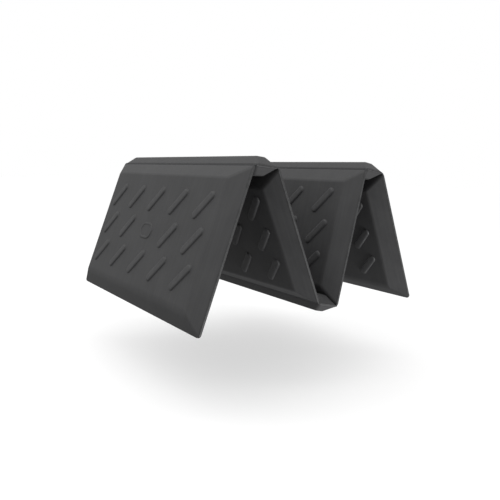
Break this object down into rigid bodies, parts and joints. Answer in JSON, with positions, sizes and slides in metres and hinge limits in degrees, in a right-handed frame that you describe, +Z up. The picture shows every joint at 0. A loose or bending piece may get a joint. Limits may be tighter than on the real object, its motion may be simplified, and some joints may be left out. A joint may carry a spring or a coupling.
{
  "type": "portable wheelchair ramp",
  "caption": "Portable folding wheelchair ramp: foam-cored rubber panels with raised slanted tread bars and bevelled edges, joined by flexible hinge spines, half folded in a zig-zag.",
  "frame": {"origin": "on the floor, under the middle of the standing half-folded ramp", "axes": "+X across the folds from panel 1 to panel 4, +Y along the folds, +Z up"},
  "size_m": [0.816, 0.75, 0.4289],
  "materials": {
    "panel_skin": "matte",
    "spine_cap": "matte",
    "hinge_web": "matte",
    "core_foam": "matte",
    "load_board": "satin"
  },
  "bodies": {
    "panel_1": {"panel_1_upper_skin": "panel_skin", "panel_1_lower_skin": "panel_skin", "panel_1_upper_core": "core_foam", "panel_1_lower_core": "core_foam", "panel_1_load_board": "load_board", "fold_1_web_left": "hinge_web"},
    "panel_2": {"panel_2_upper_skin": "panel_skin", "panel_2_lower_skin": "panel_skin", "panel_2_upper_core": "core_foam", "panel_2_lower_core": "core_foam", "panel_2_load_board": "load_board", "fold_1_web_right": "hinge_web", "fold_2_web_left": "hinge_web"},
    "panel_3": {"panel_3_upper_skin": "panel_skin", "panel_3_lower_skin": "panel_skin", "panel_3_upper_core": "core_foam", "panel_3_lower_core": "core_foam", "panel_3_load_board": "load_board", "fold_2_web_right": "hinge_web", "fold_3_web_left": "hinge_web"},
    "panel_4": {"panel_4_upper_skin": "panel_skin", "panel_4_lower_skin": "panel_skin", "panel_4_upper_core": "core_foam", "panel_4_lower_core": "core_foam", "panel_4_load_board": "load_board", "fold_3_web_right": "hinge_web"},
    "spine_1": {"spine_1_upper_cap": "spine_cap", "spine_1_lower_cap": "spine_cap", "spine_1_web": "hinge_web"},
    "spine_2": {"spine_2_upper_cap": "spine_cap", "spine_2_lower_cap": "spine_cap", "spine_2_web": "hinge_web"},
    "spine_3": {"spine_3_upper_cap": "spine_cap", "spine_3_lower_cap": "spine_cap", "spine_3_web": "hinge_web"}
  },
  "joints": [
    {"name": "fold_2_left", "type": "hinge", "parent": "spine_2", "child": "panel_2", "pos_m": [-0.01078, 0, 0.03508], "axis": [0, 1, 0], "range_deg": [-53, 37]},
    {"name": "fold_2_right", "type": "hinge", "parent": "spine_2", "child": "panel_3", "pos_m": [0.06132, 0, 0.01844], "axis": [0, -1, 0], "range_deg": [-90, 0]},
    {"name": "fold_1_right", "type": "hinge", "parent": "panel_2", "child": "spine_1", "pos_m": [-0.17348, 0, 0.4005], "axis": [0, -1, 0], "range_deg": [-61, 29]},
    {"name": "fold_1_left", "type": "hinge", "parent": "spine_1", "child": "panel_1", "pos_m": [-0.2472, 0, 0.40695], "axis": [0, -1, 0], "range_deg": [-75.02, 14.98]},
    {"name": "fold_3_left", "type": "hinge", "parent": "panel_3", "child": "spine_3", "pos_m": [0.1513, 0, 0.40818], "axis": [0, 1, 0], "range_deg": [-86, 4]},
    {"name": "fold_3_right", "type": "hinge", "parent": "spine_3", "child": "panel_4", "pos_m": [0.22439, 0, 0.39661], "axis": [0, 1, 0], "range_deg": [-57.27, 32.73]}
  ]
}
